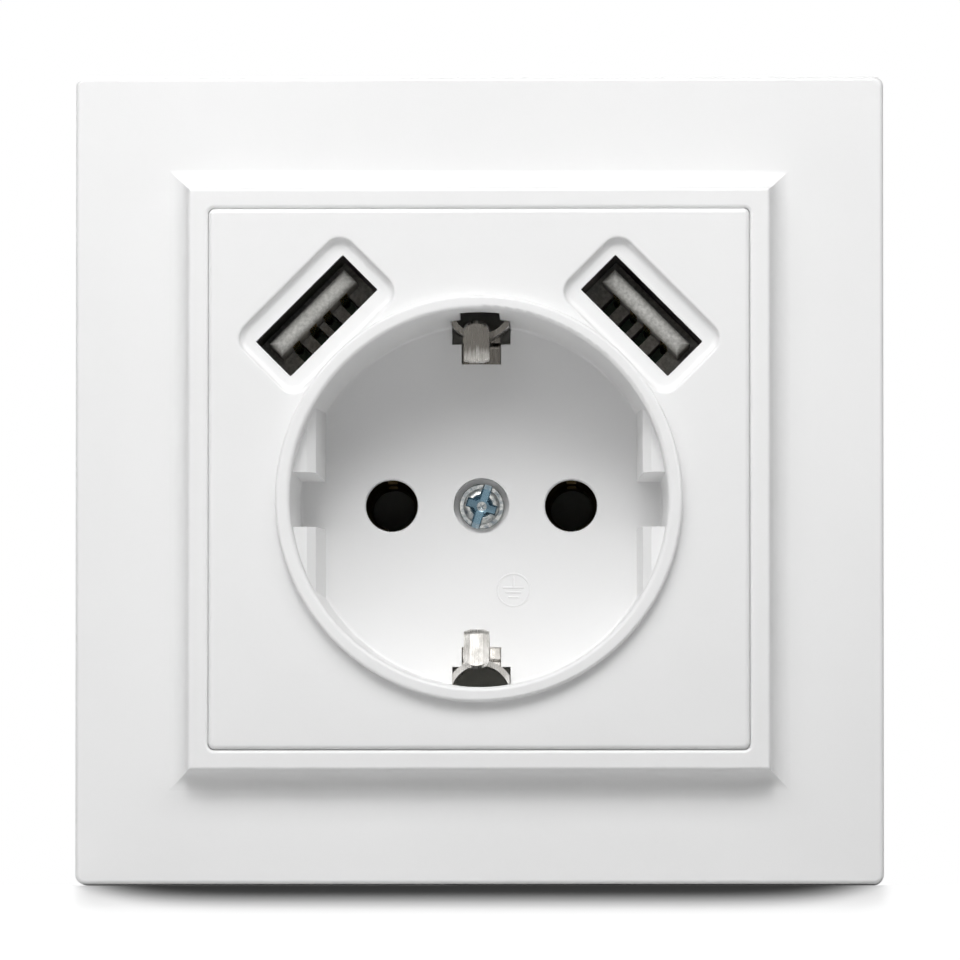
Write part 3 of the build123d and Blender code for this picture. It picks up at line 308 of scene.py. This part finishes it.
signPieces = [reliefRing("earthSignRing")]
signPieces.append(reliefLine("earthSignStem", (0, earthSign["stemTop"]), (0, earthSign["stemFoot"])))
for barNumber, barLength in enumerate(earthSign["barLengths"]):
    barHeight = earthSign["stemFoot"] - earthSign["barDrop"] - barNumber * earthSign["barGap"]
    signPieces.append(reliefLine(
        f"earthSignBar{barNumber + 1}", (-barLength / 2, barHeight), (barLength / 2, barHeight)))
print("earth sign:", len(signPieces), "pieces")


# Screws: a drive pressed into the head, a rolled thread on the shank

plateScrew = {  # millimetres and degrees, heights from the head's top; a reach of 9 runs out past the rim
    "columns": 224, "domeRadius": 1.88, "domeRise": 0.6, "domePower": 2.0, "step": 0.7, "headRadius": 2.4,
    "headHeight": 1.9, "rimRound": 0.12, "under": ((1.5, -1.9),), "turn": 72,
    "slotWidth": 0.8, "slotFloor": -1.5, "slotReach": 9,
    "crossWidth": 0.8, "crossReach": 1.55, "crossFloor": -1.75, "crossSlope": 0.45, "edge": 0.1, "well": 0.85,
    "threadRadius": 1.5, "threadDepth": 0.28, "pitch": 0.5, "length": 11.4, "point": 0.4}
clawScrew = {
    "columns": 112, "domeRadius": 2.62, "domeRise": 0.75, "domePower": 2.3, "step": 0, "headRadius": 2.75,
    "headHeight": 1.6, "rimRound": 0.1, "under": ((1.5, -1.6),), "turn": 31,
    "slotWidth": 0.8, "slotFloor": -0.95, "slotReach": 9,
    "crossWidth": 0.8, "crossReach": 1.7, "crossFloor": -1.25, "crossSlope": 0.4, "edge": 0.12, "well": 0,
    "threadRadius": 1.5, "threadDepth": 0.28, "pitch": 0.5, "length": 21.1, "point": 0.4}
coverScrew = {
    "columns": 96, "domeRadius": 2.25, "domeRise": 0.02, "domePower": 2.0, "step": 0, "headRadius": 2.4,
    "headHeight": 0.1, "rimRound": 0.05, "under": ((1.25, -1.25), (1.25, -1.5)), "turn": 12,
    "slotWidth": 0.75, "slotFloor": -0.75, "slotReach": 1.55,
    "crossWidth": 0.75, "crossReach": 1.55, "crossFloor": -1.15, "crossSlope": 0.5, "edge": 0.12, "well": 0,
    "threadRadius": 1.25, "threadDepth": 0.3, "pitch": 0.95, "length": 9.0, "point": 1.2}
clampScrew = {
    "columns": 64, "domeRadius": 1.45, "domeRise": 0.02, "domePower": 2.0, "step": 0, "headRadius": 1.6,
    "headHeight": 0.1, "rimRound": 0.08, "under": ((1.6, -0.2),), "turn": 0,
    "slotWidth": 0.75, "slotFloor": -0.9, "slotReach": 9,
    "crossWidth": 0, "crossReach": 0, "crossFloor": 0, "crossSlope": 0, "edge": 0.08, "well": 0,
    "threadRadius": 1.7, "threadDepth": 0.3, "pitch": 0.7, "length": 5.5, "point": 0.3}
screwMesh = {  # row counts, then shares of the painted shade and highlight, the well's slope, the thread's flanks and the point
    "domeRows": 60, "shelfRows": 7, "rimRows": 6, "rowsPerPitch": 7, "paintedShadeDepth": 3, "wellHighlightShare": 0.65,
    "wellSlope": 4, "flankGain": 2.6, "flankCut": 0.8, "pointShare": 0.4}
towards = {  # where a screw's own x, y and outward axis point
    "front": ((1, 0, 0), (0, 0, 1), (0, -1, 0)),
    "rear": ((1, 0, 0), (0, 0, -1), (0, 1, 0)),
    "below": ((1, 0, 0), (0, -1, 0), (0, 0, -1))}


def screwGrid(look):  # head profile less the drive, then r = crest - depth * wave(z / pitch - turn)
    turn = np.linspace(0, 2 * np.pi, look["columns"], endpoint=False)[None, :]
    sweep = np.linspace(0, np.pi / 2, screwMesh["domeRows"])
    power = 2 / look["domePower"]
    domeEdge = -look["domeRise"]
    shoulder = domeEdge - look["step"]
    rimEdge = look["headRadius"] - look["rimRound"]
    rim = np.linspace(0, np.pi / 2, screwMesh["rimRows"])
    radius = np.concatenate([
        look["domeRadius"] * np.sin(sweep) ** power,
        np.linspace(look["domeRadius"], rimEdge, screwMesh["shelfRows"], endpoint=False),
        rimEdge + look["rimRound"] * np.sin(rim)])[:, None]
    height = np.concatenate([
        domeEdge + look["domeRise"] * np.clip(np.cos(sweep), 0, 1) ** power,
        np.full(screwMesh["shelfRows"], shoulder),
        shoulder - look["rimRound"] * (1 - np.cos(rim))])[:, None]
    angle = turn - math.radians(look["turn"])
    along = np.abs(radius * np.cos(angle))
    across = np.abs(radius * np.sin(angle))
    edge = look["edge"]
    slotWall = np.clip(
        np.maximum(across - look["slotWidth"] / 2, along - look["slotReach"]) / edge, 0, 1)
    crossWall = np.clip(
        np.maximum(along - look["crossWidth"] / 2, across - look["crossReach"]) / edge, 0, 1)
    wellWall = np.clip((radius - look["well"]) / (screwMesh["wellSlope"] * edge), 0, 1)
    slotFloor = np.minimum(look["slotFloor"], height)
    crossFloor = np.minimum(look["crossFloor"] + look["crossSlope"] * radius, height)
    head = np.minimum(
        slotFloor + (height - slotFloor) * slotWall,
        crossFloor + (height - crossFloor) * crossWall * wellWall)
    wellHighlight = np.clip((screwMesh["wellHighlightShare"] * look["well"] - radius) / edge, 0, 1)  # the well's middle, a painted highlight
    # painted shade fading in over a few edge widths down into the drive
    unshadedShare = np.maximum(np.clip(1 - (height - head) / (screwMesh["paintedShadeDepth"] * edge), 0, 1), wellHighlight)
    radius = np.broadcast_to(radius, head.shape)
    under = np.array([(look["headRadius"], -look["headHeight"]), *look["under"]])
    underRadius = np.broadcast_to(under[:, :1], (len(under), look["columns"]))
    underHeight = np.broadcast_to(under[:, 1:], underRadius.shape)

    start = under[-1, 1]
    count = int((look["length"] + start) / look["pitch"] * screwMesh["rowsPerPitch"])
    drop = np.linspace(start, -look["length"], count)[:, None]
    phase = drop / look["pitch"] - turn / (2 * np.pi)
    flank = np.abs(2 * (phase - np.floor(phase)) - 1)
    wave = np.clip(screwMesh["flankGain"] * flank - screwMesh["flankCut"], 0, 1)  # flat crest and root
    pointShare = screwMesh["pointShare"]
    taper = np.clip((drop + look["length"]) / look["point"], 0, 1) * (1 - pointShare) + pointShare
    shank = (look["threadRadius"] - look["threadDepth"] * wave) * taper
    drop = np.broadcast_to(drop, shank.shape)
    tip = np.zeros((1, look["columns"]))
    radius = np.concatenate([radius, underRadius, shank, tip])
    height = np.concatenate([head, underHeight, drop, tip - look["length"]])
    unshadedShare = np.concatenate([unshadedShare, np.ones((len(radius) - len(unshadedShare), look["columns"]))])
    return np.stack([radius * np.cos(turn), radius * np.sin(turn), height], axis=-1), unshadedShare


def screwPiece(name, look, node, body, places, facing):  # one mesh that holds every screw of the node
    local, unshadedShare = screwGrid(look)
    points = (local @ np.array(towards[facing], float))[None] + np.array(places)[:, None, None, :]
    # every copy's share left out of painted shade
    unshadedShares = np.tile(unshadedShare, (len(places), 1, 1))
    piece = gridPiece(name, points, "zinc_passivated_pressed_head", unshadedShare=unshadedShares)
    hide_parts(node)
    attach(piece, body)


def nodeBox(node):  # corners of a CAD node in millimetres
    return np.array([list(corner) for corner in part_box(node)]) / mm


def headPlace(node):  # middle of a single screw's head, on its front
    low, high = nodeBox(node)
    return [((low[0] + high[0]) / 2, low[1], (low[2] + high[2]) / 2)]


screwPiece("plateScrew", plateScrew, "plate_screw", "socket", headPlace("plate_screw"), "front")
for side in ("left", "right"):
    clawNode = f"claw_screw_{side}"
    screwPiece(f"clawScrew_{side}", clawScrew, clawNode, clawNode, headPlace(clawNode), "front")
low, high = nodeBox("rear_cover_screws")
inset = coverScrew["headRadius"]
screwPiece("coverScrews", coverScrew, "rear_cover_screws", "socket", [
    (low[0] + inset, high[1], low[2] + inset), (high[0] - inset, high[1], low[2] + inset),
    (0, high[1], high[2] - inset)], "rear")
low, high = nodeBox("terminal_screws")
inset = clampScrew["threadRadius"]
sideFoot = high[2] - clampScrew["length"]
screwPiece("clampScrews", clampScrew, "terminal_screws", "socket", [
    (low[0] + inset, low[1] + inset, sideFoot), (0, low[1] + inset, low[2]),
    (high[0] - inset, low[1] + inset, sideFoot)], "below")
print("screws made")


# Stage: a pale floor seen from above only, and a card below it whose soft shadow under the frame is partly
# cast and partly painted

stageLook = {  # glows are near and far
    "floorTone": "C4C4C4", "cardTone": "C8C8C8", "floorGlow": (0.25, 0.8), "cardGlow": (0.75, 0.75),
    "level": -42.6, "reach": 3000, "farFrom": 150, "farTo": 800,
    "cardPlace": -4.6, "cardWidth": 240, "cardDepth": 40,
    "shadeHalf": 43.0, "shadeDepth": 2.84, "shadeEnds": 8, "shadeFrom": 0.15, "shadeTo": 1.1,
    "shadeLeast": 0.035, "frameMiddle": -3.5, "frameHalf": 3.5}


def stageMaterial(name, tone, glow):  # pale sheet, clear from behind, with a little glow for the eye only, held low near the frame as a painted shadow
    # glow rises with (|x| / half) ^ ends + max(level - z, |y - middle| - frameHalf) / depth
    material, tree = makeMaterial(name)
    path = addNode(tree, "ShaderNodeLightPath")
    side = addNode(tree, "ShaderNodeNewGeometry")
    place = addNode(tree, "ShaderNodeTexCoord")
    axes = addNode(tree, "ShaderNodeSeparateXYZ", {"Vector": place.outputs["Object"]})
    aside = addNode(tree, "ShaderNodeMath", {0: axes.outputs["X"]}, operation="ABSOLUTE")
    share = addNode(tree, "ShaderNodeMath", {
        0: aside.outputs[0], 1: stageLook["shadeHalf"] * mm}, operation="DIVIDE")
    ends = addNode(tree, "ShaderNodeMath", {
        0: share.outputs[0], 1: stageLook["shadeEnds"]}, operation="POWER")
    below = addNode(tree, "ShaderNodeMath", {
        0: stageLook["level"] * mm, 1: axes.outputs["Z"]}, operation="SUBTRACT")
    behind = addNode(tree, "ShaderNodeMath", {
        0: axes.outputs["Y"], 1: stageLook["frameMiddle"] * mm}, operation="SUBTRACT")
    awayFrom = addNode(tree, "ShaderNodeMath", {0: behind.outputs[0]}, operation="ABSOLUTE")
    beyond = addNode(tree, "ShaderNodeMath", {
        0: awayFrom.outputs[0], 1: stageLook["frameHalf"] * mm}, operation="SUBTRACT")
    farther = addNode(tree, "ShaderNodeMath", {
        0: below.outputs[0], 1: beyond.outputs[0]}, operation="MAXIMUM")
    depth = addNode(tree, "ShaderNodeMath", {
        0: farther.outputs[0], 1: stageLook["shadeDepth"] * mm}, operation="DIVIDE")
    apart = addNode(tree, "ShaderNodeMath", {0: ends.outputs[0], 1: depth.outputs[0]}, operation="ADD")
    away = addNode(tree, "ShaderNodeVectorMath", {0: place.outputs["Object"]}, operation="LENGTH")
    far = addNode(tree, "ShaderNodeMapRange", {  # the far floor stays pale where the lamps don't reach
        "Value": away.outputs["Value"],
        "From Min": stageLook["farFrom"] * mm, "From Max": stageLook["farTo"] * mm,
        "To Min": glow[0], "To Max": glow[1]})
    ramp = addNode(tree, "ShaderNodeMapRange", {
        "Value": apart.outputs[0], "From Min": stageLook["shadeFrom"], "From Max": stageLook["shadeTo"],
        "To Min": stageLook["shadeLeast"], "To Max": far.outputs["Result"]},
        interpolation_type="SMOOTHSTEP")  # next to no glow close under the frame: a painted shadow
    seen = addNode(tree, "ShaderNodeMath", {
        0: path.outputs["Is Camera Ray"], 1: path.outputs["Is Glossy Ray"]}, operation="MAXIMUM")
    level = addNode(tree, "ShaderNodeMath", {
        0: seen.outputs[0], 1: ramp.outputs["Result"]}, operation="MULTIPLY")
    paper = addNode(tree, "ShaderNodeBsdfDiffuse", {"Color": linearColour(tone)})
    shine = addNode(tree, "ShaderNodeEmission", {"Strength": level.outputs[0]})
    both = addNode(tree, "ShaderNodeAddShader", {0: paper.outputs[0], 1: shine.outputs[0]})
    clear = addNode(tree, "ShaderNodeBsdfTransparent")
    sheet = addNode(tree, "ShaderNodeMixShader", {
        0: side.outputs["Backfacing"], 1: both.outputs[0], 2: clear.outputs[0]})
    addNode(tree, "ShaderNodeOutputMaterial", {"Surface": sheet.outputs[0]})
    return material


def stageSheet(name, corners, tone, glow):  # four corners in millimetres, the side that shows faces out
    mesh = bpy.data.meshes.new(name)
    mesh.from_pydata((np.array(corners) * mm).tolist(), [], [(0, 1, 2, 3)])
    mesh.materials.append(stageMaterial(name + "_paper", tone, glow))
    sheet = bpy.data.objects.new(name, mesh)
    bpy.context.scene.collection.objects.link(sheet)


reach = stageLook["reach"]
level = stageLook["level"]
stageSheet("floor", [
    (-reach, -reach, level), (reach, -reach, level), (reach, reach, level), (-reach, reach, level)],
    stageLook["floorTone"], stageLook["floorGlow"])
cardSide = stageLook["cardWidth"] / 2
cardFoot = level - stageLook["cardDepth"]
cardPlace = stageLook["cardPlace"]
stageSheet("shadowCard", [
    (-cardSide, cardPlace, cardFoot), (cardSide, cardPlace, cardFoot),
    (cardSide, cardPlace, level), (-cardSide, cardPlace, level)],
    stageLook["cardTone"], stageLook["cardGlow"])
print("stage set")


# Light: soft lamps above the front, one at the left and one at the back, and a white backdrop

lamps = {  # a strip above, three softer ones in front, and one behind for the back
    "strip": {"place": (0, -225, 268), "width": 700, "height": 120, "watts": 1.02},
    "front": {"place": (0, -345, 289), "width": 100, "height": 100, "watts": 0.376},
    "far": {"place": (0, -779, 450), "width": 200, "height": 200, "watts": 0.62},
    "left": {"place": (-165, -353, 225), "width": 260, "height": 200, "watts": 0.315},
    "rear": {"place": (-200, 420, 330), "width": 400, "height": 300, "watts": 2.2}}
roomLight = 0.01


def areaLamp(name, lamp):  # a soft rectangle that points at the middle of the part
    data = bpy.data.lights.new(name, "AREA")
    data.shape = "RECTANGLE"
    data.size = lamp["width"] * mm
    data.size_y = lamp["height"] * mm
    data.energy = lamp["watts"]
    lampObject = bpy.data.objects.new(name, data)
    lampObject.location = Vector(lamp["place"]) * mm
    lampObject.rotation_euler = (-lampObject.location).to_track_quat("-Z", "Y").to_euler()
    bpy.context.scene.collection.objects.link(lampObject)


for lampName, lamp in lamps.items():
    areaLamp(lampName, lamp)
world = bpy.data.worlds.new("studio")
bpy.context.scene.world = world
world.use_nodes = True
world.node_tree.nodes.clear()
sky = world.node_tree
rays = addNode(sky, "ShaderNodeLightPath")
through = addNode(sky, "ShaderNodeMath", {
    0: rays.outputs["Is Camera Ray"], 1: rays.outputs["Is Transmission Ray"]}, operation="MAXIMUM")
looked = addNode(sky, "ShaderNodeMath", {
    0: through.outputs[0], 1: rays.outputs["Is Glossy Ray"]}, operation="MAXIMUM")
strength = addNode(sky, "ShaderNodeMapRange", {
    "Value": looked.outputs[0], "To Min": roomLight, "To Max": 1.0})
backdrop = addNode(sky, "ShaderNodeBackground", {
    "Color": (1, 1, 1, 1), "Strength": strength.outputs["Result"]})
addNode(sky, "ShaderNodeOutputWorld", {"Surface": backdrop.outputs[0]})
print("lamps:", len(lamps))


# Camera: a little below the middle and to the right, far off

view = {
    "target": (0.06, -7, 0), "below": 2.75, "right": 0.9, "distance": 1600, "width": 100.99, "clipEnd": 100}
lift = math.radians(-view["below"])
swing = math.radians(view["right"])
offset = Vector((math.sin(swing) * math.cos(lift), -math.cos(swing) * math.cos(lift), math.sin(lift)))
cameraData = bpy.data.cameras.new("camera")
cameraData.lens = cameraData.sensor_width * view["distance"] / view["width"]
cameraData.clip_end = view["clipEnd"]  # metres
camera = bpy.data.objects.new("camera", cameraData)
camera.location = (Vector(view["target"]) + offset * view["distance"]) * mm
camera.rotation_euler = (-offset).to_track_quat("-Z", "Y").to_euler()
bpy.context.scene.collection.objects.link(camera)
bpy.context.scene.camera = camera
bpy.context.scene.view_settings.view_transform = "Standard"
print("camera set")
